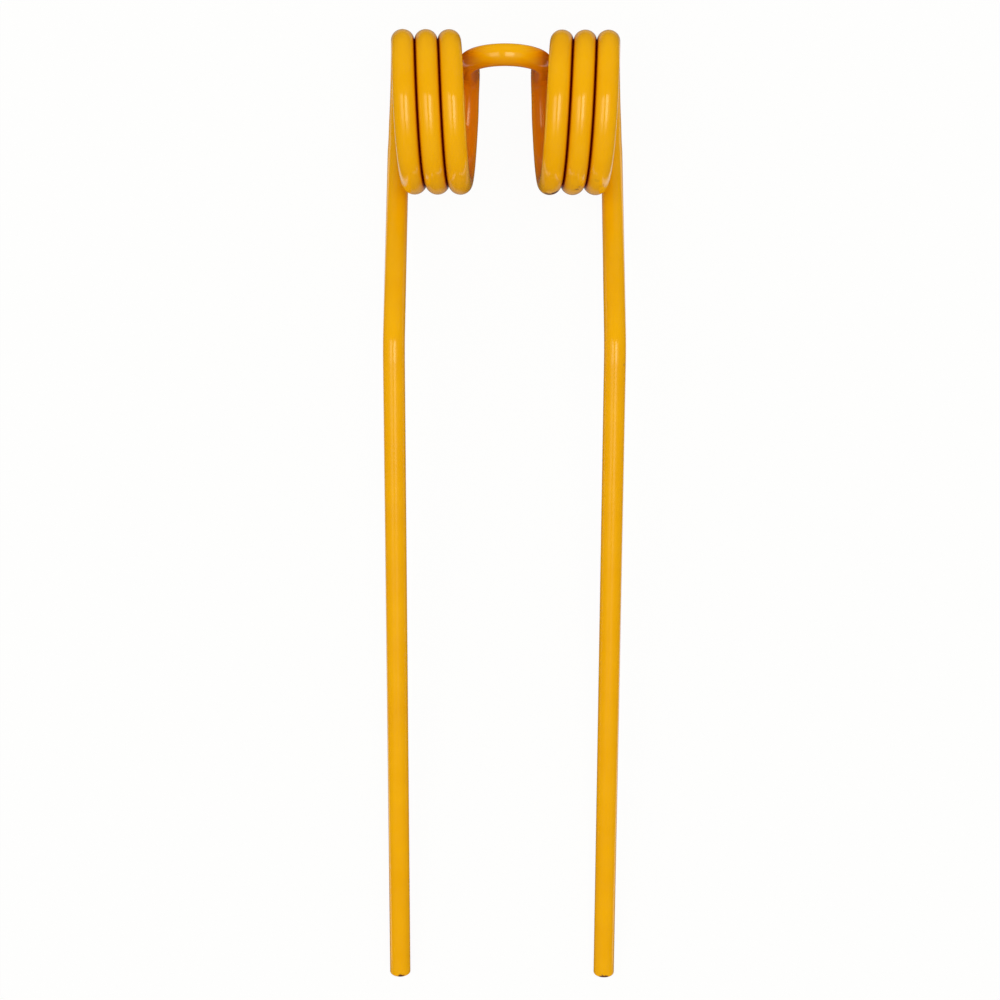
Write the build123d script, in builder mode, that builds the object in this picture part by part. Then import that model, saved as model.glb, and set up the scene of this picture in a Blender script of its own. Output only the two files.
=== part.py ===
from build123d import *
from math import asin, atan, atan2, ceil, cos, radians, sin, tan
import os

# A double spring tine for a rotary tedder: one round spring steel wire, in millimetres.
# The wire runs up the left leg, round the left coil, through the mounting loop between
# the coils, round the right coil and down the right leg. The two halves mirror each other.
# The tine lies as it comes to rest, on the backs of its coils and the ends of its legs.
# X is along the axis of the coils, Y from the leg ends towards the coils, Z up.

# Wire
wire_diameter = 9.5
tip_edge_radius = 1.0

# Coils
coil_mean_diameter = 61.0
turn_gap = 0.5
whole_turns = 3
exit_angle = 49.0
longest_arc = 60.0

# Mounting loop
loop_inner_width = 22.6
loop_leg_length = 13.0
loop_angle = 107.0
loop_exit_radius = 12.0

# Legs
upper_leg_length = 85.5
lower_leg_length = 291.0
knee_angle = 35.0
knee_radius = 26.0
lead_in_radius = 65.0

# Sizes that follow from those above
wire_radius = wire_diameter / 2
coil_radius = coil_mean_diameter / 2
coil_outer_radius = coil_radius + wire_radius
coil_pitch = wire_diameter + turn_gap
coil_turning = 360 * whole_turns + exit_angle
coil_arcs = ceil(coil_turning / longest_arc)
arc_turning = coil_turning / coil_arcs
arc_reach = coil_radius * tan(radians(arc_turning) / 2)
lead = atan(coil_pitch * arc_turning / 360 / (2 * arc_reach))
loop_radius = (loop_inner_width + wire_diameter) / 2

# Each coil is a chain of equal arcs that run into each other, with their ends on a helix.
# The right half of the wire is drawn in the coil's own frame: the origin is on the coil's
# axis at the start of the outermost turn, x points to the back of the coil, y down the
# upper leg and z along the axis towards the middle of the tine.
down = Vector(0, 1, 0)
inward = Vector(0, 0, 1)
knee_turn = radians(knee_angle)
lower_leg_direction = Vector(sin(knee_turn), cos(knee_turn), 0)
loop_turn = radians(loop_angle)
loop_direction = Vector(-sin(loop_turn), -cos(loop_turn), 0)


def turning(into, out):
    """Angle in radians between the directions before and after a bend."""
    return radians(into.get_angle(out))


def bend_reach(into, out, radius):
    """Distance from either end of a bend to the corner that it rounds."""
    return radius * tan(turning(into, out) / 2)


def bend_end(start, into, out, radius):
    """Point where a bend from a start point and direction comes out in a new direction."""
    return start + (into + out) * bend_reach(into, out, radius)


def coil_point(angle):
    """Point on the coil's centre line, at an angle upwards from the start at the back."""
    turn = radians(angle)
    return Vector(coil_radius * cos(turn), -coil_radius * sin(turn), coil_pitch * angle / 360)


def coil_direction(angle):
    """Direction of the wire at that point, which rises steadily towards the middle."""
    turn = radians(angle)
    return Vector(-sin(turn) * cos(lead), -cos(turn) * cos(lead), sin(lead))


# The leg leaves the coil at its back and loses the coil's lead in a slight bend.
leg_start = coil_point(0)
out_of_coil = coil_direction(0) * -1
lead_in_end = bend_end(leg_start, out_of_coil, down, lead_in_radius)
knee_start = lead_in_end + down * upper_leg_length
knee_end = bend_end(knee_start, down, lower_leg_direction, knee_radius)
leg_end = knee_end + lower_leg_direction * lower_leg_length

# The loop leaves the last turn past the back of the coil and points to its front.
coil_end = coil_point(coil_turning)
into_loop = coil_direction(coil_turning)
loop_start = bend_end(coil_end, into_loop, loop_direction, loop_exit_radius)
loop_bend_start = loop_start + loop_direction * loop_leg_length
loop_middle = bend_end(loop_bend_start, loop_direction, inward, loop_radius)

# The floor touches the coil's outside and the rounded edge of the leg's end, so the line
# from the coil's axis to the centre of that edge's rounding gives the tine's tilt.
towards_floor = Vector(cos(knee_turn), -sin(knee_turn), 0)
foot = leg_end - lower_leg_direction * tip_edge_radius
foot += towards_floor * (wire_radius - tip_edge_radius)
foot_distance = (foot.X**2 + foot.Y**2) ** 0.5
support_turn = asin((coil_outer_radius - tip_edge_radius) / foot_distance)
leg_rise = atan2(foot.X, foot.Y) - support_turn

# Half of the tine's extent along Y, which puts the middle of the tine over the origin.
leg_drop = knee_turn - leg_rise
leg_reach = leg_end.Y * cos(leg_rise) + leg_end.X * sin(leg_rise)
leg_reach += (wire_radius - tip_edge_radius) * sin(leg_drop)
leg_reach += tip_edge_radius * (1 - cos(leg_drop))
coil_axis_y = (leg_reach - coil_outer_radius) / 2

coil_frame = Plane(
    origin=(loop_middle.Z, coil_axis_y, coil_outer_radius),
    x_dir=(0, -sin(leg_rise), -cos(leg_rise)),
    z_dir=(-1, 0, 0),
)

with BuildPart() as right_half:
    # Centre line from the end of the leg to the middle of the loop
    with BuildLine() as centre_line:
        Line(leg_end, knee_end)
        TangentArc(knee_end, knee_start, tangent=lower_leg_direction * -1)
        Line(knee_start, lead_in_end)
        TangentArc(lead_in_end, leg_start, tangent=down * -1)
        for arc in range(coil_arcs):
            start_angle = arc * arc_turning
            end_angle = start_angle + arc_turning
            TangentArc(
                coil_point(start_angle),
                coil_point(end_angle),
                tangent=coil_direction(start_angle),
            )
        TangentArc(coil_end, loop_start, tangent=into_loop)
        Line(loop_start, loop_bend_start)
        TangentArc(loop_bend_start, loop_middle, tangent=loop_direction)
    with BuildSketch(Plane(origin=leg_end, z_dir=lower_leg_direction * -1)):
        Circle(wire_radius)
    sweep(path=centre_line.wires()[0])
    leg_tip = right_half.faces().filter_by(GeomType.PLANE).sort_by(Axis.Y)[-1]
    fillet(leg_tip.edges(), tip_edge_radius)

with BuildPart() as tine_wire:
    with Locations(coil_frame):
        add(right_half.part)
    mirror(about=Plane.YZ)

tine_wire.part.label = "tine_wire"
os.makedirs("parts", exist_ok=True)
export_step(tine_wire.part, "parts/tine_wire.step")
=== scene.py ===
from collections import namedtuple
from math import asin, atan, atan2, ceil, cos, hypot, pi, radians, sin, tan
import bpy
from mathutils import Matrix, Vector


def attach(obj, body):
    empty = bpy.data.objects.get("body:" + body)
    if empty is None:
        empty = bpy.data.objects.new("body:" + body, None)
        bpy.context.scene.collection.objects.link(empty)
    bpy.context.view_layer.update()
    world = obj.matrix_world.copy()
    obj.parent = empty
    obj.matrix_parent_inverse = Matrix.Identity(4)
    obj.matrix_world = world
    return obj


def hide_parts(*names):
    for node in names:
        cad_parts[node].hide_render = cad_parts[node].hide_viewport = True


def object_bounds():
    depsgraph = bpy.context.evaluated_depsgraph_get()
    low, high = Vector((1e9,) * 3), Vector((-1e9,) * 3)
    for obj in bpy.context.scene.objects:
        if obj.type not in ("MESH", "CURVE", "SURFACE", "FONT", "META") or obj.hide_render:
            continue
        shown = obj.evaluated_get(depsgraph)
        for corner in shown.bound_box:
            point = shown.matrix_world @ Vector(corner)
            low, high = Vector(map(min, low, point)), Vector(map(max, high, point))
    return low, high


# The looks of a double spring tine: one painted round wire with two coils, a mounting
# loop between them and two legs. Lengths are in metres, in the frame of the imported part.

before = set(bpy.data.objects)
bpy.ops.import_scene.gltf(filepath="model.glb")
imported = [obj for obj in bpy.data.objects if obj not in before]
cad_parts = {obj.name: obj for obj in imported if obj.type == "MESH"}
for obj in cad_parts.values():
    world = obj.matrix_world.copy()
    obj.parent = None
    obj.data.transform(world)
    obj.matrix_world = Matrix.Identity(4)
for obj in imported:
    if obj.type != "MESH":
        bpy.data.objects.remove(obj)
cad_low, cad_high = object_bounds()
MM = 0.001

# Sizes of the wire's form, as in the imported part
wire_diameter = 9.5 * MM
tip_edge_radius = 1.0 * MM
coil_mean_diameter = 61.0 * MM
turn_gap = 0.5 * MM
whole_turns = 3
exit_angle = 49.0
longest_arc = 60.0
loop_inner_width = 22.6 * MM
loop_leg_length = 13.0 * MM
loop_angle = radians(107.0)
loop_exit_radius = 12.0 * MM
upper_leg_length = 85.5 * MM
lower_leg_length = 291.0 * MM
knee_angle = radians(35.0)
knee_radius = 26.0 * MM
lead_in_radius = 65.0 * MM

# Sizes that follow from those above
wire_radius = wire_diameter / 2
coil_radius = coil_mean_diameter / 2
coil_outer_radius = coil_radius + wire_radius
coil_pitch = wire_diameter + turn_gap
coil_turning = 360 * whole_turns + exit_angle
exit_turn = radians(coil_turning)
arc_turning = exit_turn / ceil(coil_turning / longest_arc)
arc_reach = coil_radius * tan(arc_turning / 2)
lead = atan(coil_pitch * arc_turning / (2 * pi) / (2 * arc_reach))
loop_radius = (loop_inner_width + wire_diameter) / 2

# How finely the wire is meshed
points_round_wire = 48
bend_step = radians(4)
coil_step = radians(2.5)
leg_step = 6.0 * MM
tip_steps = 6

# The paint closes the gap between the turns, so their sections widen until they just meet
turn_overlap = 0.03 * MM
turn_widening = (coil_pitch / 2 + turn_overlap) / wire_radius - 1
widening_turn = radians(25)

# Painted shade: the paint's colour is deeper where the coil shades the wire. A cover, from 0 to 1,
# is how much the coil shades the side of the wire that faces the coil's axis. It grows over the
# first part of the coil's first turn, is whole up to the loop's bend and falls towards the loop's middle.
cover_turns = (0.7, 1.7)
full_cover = (1.0, 1.0)
loop_bend_cover = (1.0, 0.4)

# The painted shade on that side grows between these two cosines of its angle to the axis
coil_shade_facing = (-0.3, 0.8)

# The loop's colour is darkened as painted shade all round where it lies inside the coil's circle and close
# to the coil
loop_shade = 0.85
loop_shade_depths = (0.5 * MM, 5 * MM)
loop_shade_sides = (0.35 * loop_radius, 1.05 * loop_radius)


def bend_reach(into, out, radius):
    """Distance from either end of a bend to the corner that it rounds."""
    return radius * tan(into.angle(out) / 2)


def bend_end(start, into, out, radius):
    """Point where a bend from a start point and direction comes out in a new direction."""
    return start + (into + out) * bend_reach(into, out, radius)


def coil_point(turn):
    """Point on a coil's centre line, at a turn from its start at the back."""
    return Vector((coil_radius * cos(turn), -coil_radius * sin(turn), coil_pitch * turn / (2 * pi)))


def coil_direction(turn):
    """Direction of the wire at that point."""
    return Vector((-sin(turn) * cos(lead), -cos(turn) * cos(lead), sin(lead)))


# The right half of the wire, in the frame of its coil
down = Vector((0, 1, 0))
inward = Vector((0, 0, 1))
lower_leg_direction = Vector((sin(knee_angle), cos(knee_angle), 0))
loop_direction = Vector((-sin(loop_angle), -cos(loop_angle), 0))
out_of_coil = -coil_direction(0)
lead_in_end = bend_end(coil_point(0), out_of_coil, down, lead_in_radius)
knee_start = lead_in_end + down * upper_leg_length
knee_end = bend_end(knee_start, down, lower_leg_direction, knee_radius)
leg_end = knee_end + lower_leg_direction * lower_leg_length
coil_end = coil_point(exit_turn)
into_loop = coil_direction(exit_turn)
loop_start = bend_end(coil_end, into_loop, loop_direction, loop_exit_radius)
loop_bend_start = loop_start + loop_direction * loop_leg_length
loop_middle = bend_end(loop_bend_start, loop_direction, inward, loop_radius)

# How the tine lies: on the outside of its coils and the rounded edges of its leg ends
foot = leg_end - lower_leg_direction * tip_edge_radius
foot += Vector((cos(knee_angle), -sin(knee_angle), 0)) * (wire_radius - tip_edge_radius)
support_turn = asin((coil_outer_radius - tip_edge_radius) / hypot(foot.x, foot.y))
leg_rise = atan2(foot.x, foot.y) - support_turn
coil_axis = Vector((0, cad_high.y - coil_outer_radius, coil_outer_radius))


def placed(vector, side):
    """A direction in the coil's frame, turned into the part's frame; side is -1 left, 1 right."""
    return Vector((
        -side * vector.z,
        -vector.x * sin(leg_rise) - vector.y * cos(leg_rise),
        -vector.x * cos(leg_rise) + vector.y * sin(leg_rise),
    ))


def placed_point(point, side):
    """A point in the coil's frame, moved into the part's frame."""
    return coil_axis + placed(point - Vector((0, 0, loop_middle.z)), side)


# A place along the wire. Its turn round the coil is 0 outside the coils.
Station = namedtuple("Station", "point direction turn cover")


def ramp(value, low, high):
    """A smooth rise from 0 at low to 1 at high."""
    share = min(1.0, max(0.0, (value - low) / (high - low)))
    return share * share * (3 - 2 * share)


def mixed(ends, share):
    """The value at a share of the way between two."""
    return ends[0] + (ends[1] - ends[0]) * share


def line_stations(start, end, cover=(0.0, 0.0)):
    """Stations along a straight stretch, without its end."""
    count = max(1, ceil((end - start).length / leg_step))
    direction = (end - start).normalized()
    shares = [i / count for i in range(count)]
    return [Station(start.lerp(end, share), direction, 0.0, mixed(cover, share)) for share in shares]


def bend_stations(start, into, out, radius, cover=(0.0, 0.0)):
    """Stations along a round bend, without its end."""
    angle = into.angle(out)
    count = max(2, ceil(angle / bend_step))
    across = (out - into * into.dot(out)).normalized()
    stations = []
    for i in range(count):
        turned = angle * i / count
        point = start + into * (radius * sin(turned)) + across * (radius * (1 - cos(turned)))
        direction = into * cos(turned) + across * sin(turned)
        stations.append(Station(point, direction, 0.0, mixed(cover, i / count)))
    return stations


def coil_stations():
    """Stations round the right coil, without its end."""
    count = ceil(exit_turn / coil_step)
    stations = []
    for i in range(count):
        turn = exit_turn * i / count
        stations.append(Station(coil_point(turn), coil_direction(turn), turn, ramp(turn, *cover_turns)))
    return stations


def half_stations():
    """Stations of the right half of the wire, from the leg's end to the loop's middle."""
    up_lower_leg = -lower_leg_direction
    stations = line_stations(leg_end + up_lower_leg * tip_edge_radius, knee_end)
    stations += bend_stations(knee_end, up_lower_leg, -down, knee_radius)
    stations += line_stations(knee_start, lead_in_end)
    stations += bend_stations(lead_in_end, -down, coil_direction(0), lead_in_radius)
    stations += coil_stations()
    stations += bend_stations(coil_end, into_loop, loop_direction, loop_exit_radius, full_cover)
    stations += line_stations(loop_start, loop_bend_start, full_cover)
    stations += bend_stations(loop_bend_start, loop_direction, inward, loop_radius, loop_bend_cover)
    return stations


def whole_stations():
    """Stations of the whole wire, from the left leg's end to the right leg's end."""
    left, right = [], []
    for station in half_stations():
        point, direction = station.point, station.direction
        left.append(station._replace(point=placed_point(point, -1), direction=placed(direction, -1)))
        right.append(station._replace(point=placed_point(point, 1), direction=-placed(direction, 1)))
    middle = [Station(placed_point(loop_middle, 1), Vector((1, 0, 0)), 0.0, loop_bend_cover[1])]
    return left + middle + right[::-1]


def ring(station, side, radius):
    """Points of one ring round the wire, with how much painted shade each gets inside the coil and in the
    creases between turns.
    """
    other = station.direction.cross(side)
    in_coil = ramp(station.turn, 0, widening_turn) * ramp(exit_turn - station.turn, 0, widening_turn)
    widening = Vector((1 + turn_widening * in_coil, 1, 1))
    outward = station.point - coil_axis
    outward.x = 0
    inside_coil = ramp(coil_radius - outward.length, *loop_shade_depths)
    outward.normalize()
    to_middle = -1 if station.point.x > 0 else 1
    has_inner_turn = station.turn + 2 * pi < exit_turn
    has_outer_turn = station.turn > 2 * pi
    points, painted_coil_shades, painted_crease_shades = [], [], []
    for i in range(points_round_wire):
        angle = 2 * pi * i / points_round_wire
        facing = side * cos(angle) + other * sin(angle)
        point = station.point + facing * radius * widening
        points.append(point)
        beside_coil = inside_coil * ramp(abs(point.x), *loop_shade_sides)
        # Painted shade on the side facing the coil's axis, and all round the loop beside the coil
        painted_coil_shade = ramp(-facing.dot(outward), *coil_shade_facing)
        painted_coil_shades.append(station.cover * max(painted_coil_shade, beside_coil))
        # Painted shade in the crease where the wire faces a neighbouring turn, and at the loop's ends
        sideways = facing.x * to_middle
        beside_turn = has_inner_turn if sideways > 0 else has_outer_turn
        painted_crease_shades.append(max(in_coil * abs(sideways) * beside_turn, loop_shade * beside_coil))
    return points, painted_coil_shades, painted_crease_shades


def tip_rows(station, outward):
    """Stations and radii over a leg's rounded end, from its flat face to its full width."""
    steps = []
    for i in range(tip_steps):
        lean = pi / 2 * i / tip_steps
        centre = station.point + outward * (tip_edge_radius * cos(lean))
        radius = wire_radius - tip_edge_radius + tip_edge_radius * sin(lean)
        steps.append((station._replace(point=centre), radius))
    return steps


def wire_rows():
    """Stations and radii of all rings, from the left leg's end to the right leg's end."""
    stations = whole_stations()
    first, last = stations[0], stations[-1]
    rows = tip_rows(first, -first.direction)
    rows += [(station, wire_radius) for station in stations]
    rows += reversed(tip_rows(last, last.direction))
    return rows


def faces_between_rings(ring_count):
    """The four-cornered faces from each ring to the next."""
    faces = []
    for row in range(ring_count - 1):
        here = row * points_round_wire
        there = here + points_round_wire
        for i in range(points_round_wire):
            j = (i + 1) % points_round_wire
            faces.append((here + i, here + j, there + j, there + i))
    return faces


def end_faces(row, hub):
    """The fan of faces from an end's ring to a point in its middle, turned to face outwards."""
    start = row * points_round_wire
    fan = [(hub, start + i, start + (i + 1) % points_round_wire) for i in range(points_round_wire)]
    return fan if row else [face[::-1] for face in fan]


def wire_mesh():
    """The wire as one closed mesh, with its painted shade inside the coils and in the creases marked on
    its points.
    """
    rows = wire_rows()
    side = Vector((-1, 0, 0))
    points, painted_coil_shades, painted_crease_shades = [], [], []
    for station, radius in rows:
        side = (side - station.direction * side.dot(station.direction)).normalized()
        for values, found in zip((points, painted_coil_shades, painted_crease_shades), ring(station, side, radius)):
            values += found
    faces = faces_between_rings(len(rows))
    for row in (0, len(rows) - 1):
        faces += end_faces(row, len(points))
        points.append(rows[row][0].point)
        painted_coil_shades.append(0.0)
        painted_crease_shades.append(0.0)
    mesh = bpy.data.meshes.new("tine_wire_paint")
    mesh.from_pydata(points, [], faces)
    mesh.validate()
    for name, values in (("painted_coil_shade", painted_coil_shades), ("painted_crease_shade", painted_crease_shades)):
        mesh.attributes.new(name, "FLOAT", "POINT").data.foreach_set("value", values)
    mesh.shade_smooth()
    return mesh


# How deep under the side and the end of a leg the middles of its chips lie
chip_side_depth = 0.35 * MM
chip_end_depth = 0.25 * MM


def leg_end_spot(side, across):
    """A point on the upper edge of a leg's end, so far across the wire from its middle."""
    upper = Vector((-cos(knee_angle), sin(knee_angle), 0))
    spot = leg_end + upper * (wire_radius - chip_side_depth) - lower_leg_direction * chip_end_depth
    return placed_point(spot, side) + Vector((across, 0, 0))


def coil_spot(side, turn_degrees, across):
    """A point on the outside of a coil, at a turn from its start at the back, with across from
    -1 to 1 over the wire's width."""
    turn = radians(turn_degrees)
    outward = Vector((cos(turn), -sin(turn), 0))
    lean = asin(across)
    spot = coil_point(turn) + (outward * cos(lean) - inward * sin(lean)) * wire_radius
    return placed_point(spot, side)


def knee_spot(side):
    """A point on the upper outer side of the wire, just below a knee."""
    return placed_point(knee_end, side) + Vector((0.8 * side, 0.0, 0.6)) * wire_radius


# Where the paint is chipped: at the ends of the legs, under the right coil and at the right
# knee. Each is its place, its radius and how far the paint is off, from 0 to 1.
chips = [
    (leg_end_spot(-1, 0.55 * MM), 1.45 * MM, 1.0),
    (leg_end_spot(1, -0.75 * MM), 1.35 * MM, 1.0),
    (leg_end_spot(1, 0.55 * MM), 1.25 * MM, 1.0),
    (coil_spot(1, 720 + 291, -0.15), 2.0 * MM, 0.8),
    (coil_spot(1, 720 + 288, 0.40), 2.0 * MM, 1.0),
    (coil_spot(1, 360 + 274, 0.43), 0.7 * MM, 0.4),
    (coil_spot(1, 360 + 278, 0.21), 0.9 * MM, 0.55),
    (coil_spot(1, 265, -0.25), 1.1 * MM, 0.12),
    (coil_spot(1, 272, 0.30), 1.3 * MM, 0.15),
    (knee_spot(1), 0.5 * MM, 0.4),
]


# Colours of the paint and of the steel under it, from 0 to 255 on each channel
deeper_yellow = (239, 170, 1)
lighter_yellow = (244, 177, 3)
# Painted shade: the orange inside the coils, and the orange and dark red in the creases between turns and
# at the loop's ends
coil_shade_orange = (226, 120, 1)
crease_shade_orange = (226, 130, 1)
crease_shade_red = (124, 2, 0)
darker_steel = (62, 20, 6)
lighter_steel = (112, 50, 14)

# How strongly the paint's tone turns to those of the painted shade inside the coils and in the creases
coil_shade_strength = 0.9
crease_shade_orange_range = (0.65, 0.93)
crease_shade_orange_strength = 0.7
crease_shade_red_range = (0.82, 0.93)

# Patterns of the paint: how fine each is, in repeats over a metre, how detailed they are, the
# parts of their range that count, and how high the paint and its relief are
tone_pattern = 45.0
wave_pattern = 130.0
gloss_pattern = 160.0
peel_pattern = 700.0
ragged_pattern = 900.0
steel_pattern = 1500.0
plain_detail = 1.0
rich_detail = 3.0
ragged_roughness = 0.6
tone_range = (0.3, 0.7)
grain_range = (0.35, 0.65)
paint_thickness = 0.06 * MM
peel_height = 0.008 * MM
wave_height = 0.05 * MM

# Gloss of the paint and what a chip adds to its roughness
paint_roughness = (0.12, 0.17)
chip_roughness = 0.4
paint_ior = 1.6

# The edge of a chip, in shares of its radius
chip_swing = 1.6
chip_edge = (0.8, 1.2)


def colour(red, green, blue):
    """A colour of 0 to 255 on each channel, as a shader takes it."""
    channels = []
    for value in (red, green, blue):
        share = value / 255
        channels.append(share / 12.92 if share <= 0.04045 else ((share + 0.055) / 1.055) ** 2.4)
    return (*channels, 1.0)


class Nodes:
    """The emptied node tree of a material or world, with short calls to add and join nodes."""

    def __init__(self, owner):
        self.owner = owner
        owner.use_nodes = True
        self.tree = owner.node_tree
        self.tree.nodes.clear()

    def give(self, socket, value):
        """Join a socket to another node's output, or set it to a value."""
        if isinstance(value, bpy.types.NodeSocket):
            self.tree.links.new(value, socket)
        else:
            socket.default_value = value

    def add(self, kind, inputs=None, **settings):
        """A new node with its settings and what its inputs take."""
        node = self.tree.nodes.new(kind)
        for key, value in settings.items():
            setattr(node, key, value)
        for key, value in (inputs or {}).items():
            self.give(node.inputs[key], value)
        return node

    def math(self, operation, first, second=0.0):
        """The result of a sum on one or two values."""
        return self.add("ShaderNodeMath", {0: first, 1: second}, operation=operation).outputs[0]

    def noise(self, place, scale, detail=2.0, roughness=0.5):
        """A cloudy pattern of about 0.3 to 0.7."""
        settings = {"Vector": place, "Scale": scale, "Detail": detail, "Roughness": roughness}
        return self.add("ShaderNodeTexNoise", settings).outputs["Fac"]

    def range(self, value, low, high, out_low=0.0, out_high=1.0, kind="LINEAR"):
        """A value moved from one range into another and kept inside it."""
        inputs = {"Value": value, "From Min": low, "From Max": high, "To Min": out_low, "To Max": out_high}
        return self.add("ShaderNodeMapRange", inputs, interpolation_type=kind).outputs["Result"]

    def mix(self, factor, first, second):
        """The colour between two at a share of the way."""
        node = self.add("ShaderNodeMix", data_type="RGBA")
        # The node has sockets for every type of value, and these are the ones for colours
        for number, value in ((0, factor), (6, first), (7, second)):
            self.give(node.inputs[number], value)
        return node.outputs[2]

    def mark(self, name):
        """The values that the mesh holds on its points under a name."""
        return self.add("ShaderNodeAttribute", attribute_name=name).outputs["Fac"]


def chip_mask(nodes, place):
    """How far the paint is off, from nought to one, with ragged and slightly soft edges."""
    ragged = nodes.math("SUBTRACT", nodes.noise(place, ragged_pattern, rich_detail, ragged_roughness), 0.5)
    mask = 0.0
    for spot, radius, depth in chips:
        inputs = {0: place, 1: spot}
        distance = nodes.add("ShaderNodeVectorMath", inputs, operation="DISTANCE").outputs["Value"]
        edge = nodes.math("ADD", distance, nodes.math("MULTIPLY", ragged, chip_swing * radius))
        here = nodes.range(edge, radius * chip_edge[0], radius * chip_edge[1], depth, 0.0)
        mask = here if mask == 0.0 else nodes.math("MAXIMUM", mask, here)
    return mask


def paint_tone(nodes, place):
    """The paint's colour: golden yellow, with painted shade that makes it more orange inside the coils and
    dark red in the creases between turns.
    """
    cloud = nodes.range(nodes.noise(place, tone_pattern, rich_detail), *tone_range)
    tone = nodes.mix(cloud, colour(*deeper_yellow), colour(*lighter_yellow))
    painted_coil_shade = nodes.range(nodes.mark("painted_coil_shade"), 0.0, 1.0, 0.0, coil_shade_strength)
    tone = nodes.mix(painted_coil_shade, tone, colour(*coil_shade_orange))
    painted_crease_shade = nodes.mark("painted_crease_shade")
    crease_shade_edge = nodes.range(painted_crease_shade, *crease_shade_orange_range, 0.0, crease_shade_orange_strength)
    tone = nodes.mix(crease_shade_edge, tone, colour(*crease_shade_orange))
    return nodes.mix(nodes.range(painted_crease_shade, *crease_shade_red_range), tone, colour(*crease_shade_red))


def paint_relief(nodes, place, chipped):
    """The surface's direction with the paint's waves, its orange peel and the edges of chips."""
    on_steel = nodes.math("SUBTRACT", 1.0, chipped)
    height = nodes.math("MULTIPLY", on_steel, paint_thickness)
    for pattern, relief in ((peel_pattern, peel_height), (wave_pattern, wave_height)):
        rise = nodes.math("MULTIPLY", nodes.noise(place, pattern, plain_detail), relief)
        height = nodes.math("ADD", height, rise)
    bump = nodes.add("ShaderNodeBump", {"Height": height, "Strength": 1.0, "Distance": 1.0})
    return bump.outputs["Normal"]


def yellow_paint():
    """Golden yellow gloss paint on steel, with painted shade deeper in the coils, with chips down to dark
    steel.
    """
    nodes = Nodes(bpy.data.materials.new("golden_yellow_paint"))
    place = nodes.add("ShaderNodeTexCoord").outputs["Object"]
    chipped = chip_mask(nodes, place)
    grain = nodes.range(nodes.noise(place, steel_pattern, rich_detail), *grain_range)
    steel = nodes.mix(grain, colour(*darker_steel), colour(*lighter_steel))
    gloss = nodes.range(nodes.noise(place, gloss_pattern), *tone_range, *paint_roughness)
    shader = nodes.add("ShaderNodeBsdfPrincipled", {
        "Base Color": nodes.mix(chipped, paint_tone(nodes, place), steel),
        "Roughness": nodes.math("ADD", gloss, nodes.math("MULTIPLY", chipped, chip_roughness)),
        "IOR": paint_ior,
        "Normal": paint_relief(nodes, place, chipped),
    })
    nodes.add("ShaderNodeOutputMaterial", {"Surface": shader.outputs["BSDF"]})
    return nodes.owner


def add_object(name, data):
    """A new object that shows some data, linked into the scene."""
    made = bpy.data.objects.new(name, data)
    bpy.context.scene.collection.objects.link(made)
    return made


def add_wire():
    """The painted wire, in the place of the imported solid."""
    wire = add_object("painted_wire", wire_mesh())
    wire.data.materials.append(yellow_paint())
    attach(wire, "root")
    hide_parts("tine_wire")


# The floor: how wide it is to each side, its grey and how white the camera sees it
floor_reach = 8.0
floor_grey = 0.8
floor_white = 0.95

# What the paint's gloss sees of it: a dim floor, a bright strip on each side of the tine
# between two distances from the middle, and a pale patch round the coils
floor_gloss = 0.03
strip_gloss = 1.0
strip_inner = 58 * MM
strip_outer = 80 * MM
strip_fade = 14 * MM
patch_gloss = 0.2
patch_reach = coil_outer_radius + 22 * MM
patch_fade = 18 * MM
patch_sides = (0.5 * loop_radius, loop_radius)


def floor_strength(nodes, camera_ray):
    """How bright the floor glows: white for the camera, and in strips and a patch for the gloss."""
    place = nodes.add("ShaderNodeSeparateXYZ", {0: nodes.add("ShaderNodeTexCoord").outputs["Object"]})
    beside = nodes.math("ABSOLUTE", place.outputs["X"])
    along = nodes.math("ABSOLUTE", place.outputs["Y"])
    inner = nodes.range(beside, strip_inner, strip_inner + strip_fade, kind="SMOOTHSTEP")
    outer = nodes.range(beside, strip_outer, strip_outer + strip_fade, 1.0, 0.0, "SMOOTHSTEP")
    ends = nodes.range(along, cad_high.y, cad_high.y + strip_fade, 1.0, 0.0, "SMOOTHSTEP")
    strip = nodes.math("MULTIPLY", nodes.math("MULTIPLY", inner, outer), ends)
    off_coils = nodes.math("ABSOLUTE", nodes.math("SUBTRACT", place.outputs["Y"], coil_axis.y))
    patch = nodes.range(off_coils, patch_reach, patch_reach + patch_fade, patch_gloss, 0.0, "SMOOTHSTEP")
    patch = nodes.math("MULTIPLY", patch, nodes.math("SUBTRACT", 1.0, inner))
    patch = nodes.math("MULTIPLY", patch, nodes.range(beside, *patch_sides))
    gloss = nodes.math("ADD", nodes.range(strip, 0.0, 1.0, floor_gloss, strip_gloss), patch)
    return nodes.math("MAXIMUM", camera_ray, gloss)


def floor_material():
    """A white floor with a soft shadow, which lights the tine as a grey one."""
    nodes = Nodes(bpy.data.materials.new("white_floor"))
    path = nodes.add("ShaderNodeLightPath")
    camera_ray = path.outputs["Is Camera Ray"]
    glowing = nodes.math("MULTIPLY", camera_ray, floor_white)
    glowing = nodes.math("ADD", glowing, path.outputs["Is Glossy Ray"])
    lit = nodes.add("ShaderNodeBsdfDiffuse", {"Color": (floor_grey, floor_grey, floor_grey, 1.0)})
    glow = nodes.add("ShaderNodeEmission", {"Strength": floor_strength(nodes, camera_ray)})
    both = nodes.add("ShaderNodeMixShader", {0: glowing, 1: lit.outputs[0], 2: glow.outputs[0]})
    nodes.add("ShaderNodeOutputMaterial", {"Surface": both.outputs[0]})
    return nodes.owner


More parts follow.
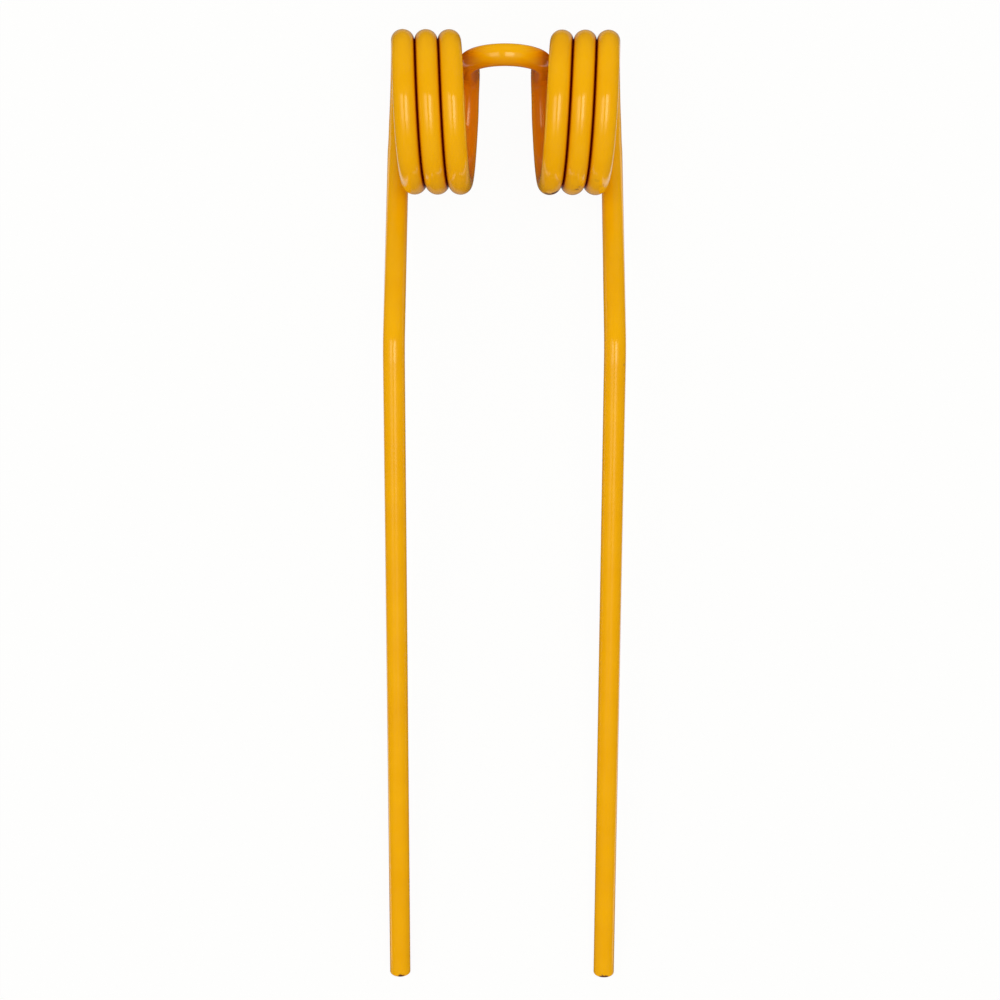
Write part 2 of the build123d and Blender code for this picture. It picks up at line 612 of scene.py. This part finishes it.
def add_floor():
    """A large floor under the tine."""
    mesh = bpy.data.meshes.new("floor")
    corners = [(x * floor_reach, y * floor_reach, 0) for x, y in ((-1, -1), (1, -1), (1, 1), (-1, 1))]
    mesh.from_pydata(corners, [], [(0, 1, 2, 3)])
    floor = add_object("floor", mesh)
    floor.data.materials.append(floor_material())


# The view: the camera looks down on the tine, a little from the side of the coils, so that the
# upper legs rise towards it by the view's tilt
view_tilt = radians(20)
look_angle = leg_rise - view_tilt
view_up = Vector((0, cos(look_angle), -sin(look_angle)))
view_back = Vector((0, sin(look_angle), cos(look_angle)))
view_right = Vector((1, 0, 0))
focal_length = 72.0
sensor_width = 36.0
camera_distance = 867.6 * MM
coils_above_middle = 168.0 * MM
left_of_middle = 1.7 * MM
camera_roll = radians(0.2)
view_middle = coil_axis - view_up * coils_above_middle


def add_camera():
    """The camera at the photograph's viewing angle."""
    camera = add_object("camera", bpy.data.cameras.new("camera"))
    camera.data.lens = focal_length
    camera.data.sensor_width = sensor_width
    turned_up = view_up * cos(camera_roll) - view_right * sin(camera_roll)
    turned_right = view_right * cos(camera_roll) + view_up * sin(camera_roll)
    turn = Matrix((turned_right, turned_up, view_back)).transposed()
    place = view_middle + view_back * camera_distance - view_right * left_of_middle
    camera.matrix_world = Matrix.Translation(place) @ turn.to_4x4()
    bpy.context.scene.camera = camera


# The light: two tall soft boxes with a dark gap between them, which dim outwards and downwards.
# Each panel is its range of angles to the right of the camera and its brightness, and each
# band is its range of angles above the camera and its share of that, as seen from the tine.
box_distance = 3.0
box_panels = ((-54, -38, 0.4), (-38, -15, 1.9), (-1, 20, 3.4), (20, 38, 0.5))
box_bands = ((-18, 16, 1.0), (-29, -18, 0.45), (-38, -29, 0.12))
box_colour = (1.0, 1.0, 0.68)

# Two fill lights: each has its range of angles above the camera, its brightness and its colour
warm_colour = (1.0, 0.8, 0.55)
fill_sides = (-50, 50)
fills = {
    "upper_fill": (50, 80, 1.1, box_colour),
    "lower_fill": (-80, -50, 0.78, warm_colour),
}

# The studio round them: how much light it gives, and how bright the gloss sees it
world_light = 0.45
world_gloss = 0.01


def add_soft_box(name, sideways, upwards, radiance, tint):
    """A soft box that fills two ranges of angles, with its light aimed at the tine."""
    turn = radians(sum(sideways) / 2)
    rise = radians(sum(upwards) / 2)
    width = 2 * box_distance * tan(radians(sideways[1] - sideways[0]) / 2)
    height = 2 * box_distance * tan(radians(upwards[1] - upwards[0]) / 2)
    facing = view_back * cos(rise) * cos(turn) + view_right * cos(rise) * sin(turn) + view_up * sin(rise)
    light = bpy.data.lights.new(name, "AREA")
    light.shape = "RECTANGLE"
    light.color = tint
    light.size = width
    light.size_y = height
    light.energy = radiance * pi * width * height
    lamp = add_object(name, light)
    side = view_up.cross(facing).normalized()
    turned = Matrix((side, facing.cross(side), facing)).transposed()
    lamp.matrix_world = Matrix.Translation(view_middle + facing * box_distance) @ turned.to_4x4()
    return lamp


def add_world():
    """A dim studio that the camera sees as white."""
    nodes = Nodes(bpy.data.worlds.new("studio"))
    path = nodes.add("ShaderNodeLightPath")
    unseen = nodes.range(path.outputs["Is Glossy Ray"], 0.0, 1.0, world_light, world_gloss)
    strength = nodes.range(path.outputs["Is Camera Ray"], 0.0, 1.0, unseen, 1.0)
    glow = nodes.add("ShaderNodeBackground", {"Color": (1.0, 1.0, 1.0, 1.0), "Strength": strength})
    nodes.add("ShaderNodeOutputWorld", {"Surface": glow.outputs["Background"]})
    bpy.context.scene.world = nodes.owner


def add_lights():
    """The soft boxes, two fill lights that the gloss doesn't show, and the studio round them."""
    for left, right, radiance in box_panels:
        for low, high, share in box_bands:
            add_soft_box("soft_box", (left, right), (low, high), radiance * share, box_colour)
    for name, (low, high, radiance, tint) in fills.items():
        add_soft_box(name, fill_sides, (low, high), radiance, tint).visible_glossy = False
    add_world()


add_wire()
add_floor()
add_camera()
add_lights()
bpy.context.scene.view_settings.view_transform = "Standard"
